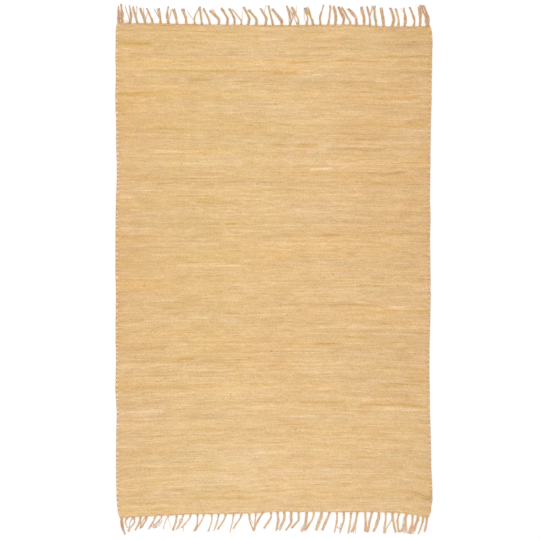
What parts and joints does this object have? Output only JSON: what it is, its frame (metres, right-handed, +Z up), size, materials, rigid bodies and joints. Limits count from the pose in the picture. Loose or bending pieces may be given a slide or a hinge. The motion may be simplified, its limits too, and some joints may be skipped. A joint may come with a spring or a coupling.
{
  "type": "chindi rug",
  "caption": "Handwoven flat rag rug in pale golden beige, with knotted warp fringes at both ends, lying flat.",
  "frame": {"origin": "on the floor, under the middle of the rug and its fringes", "axes": "+X along the weft, +Y along the warp towards the far fringe, +Z up"},
  "size_m": [1.2042, 2.0136, 0.0056],
  "materials": {
    "rag_weft": "matt woven cotton rag strips, mixed pale golden beige",
    "warp_cotton": "matt plied cotton yarn, pinkish tan"
  },
  "bodies": {
    "root": {"woven_cloth": "rag_weft", "fringe_far_end": "warp_cotton", "fringe_near_end": "warp_cotton"}
  },
  "joints": []
}
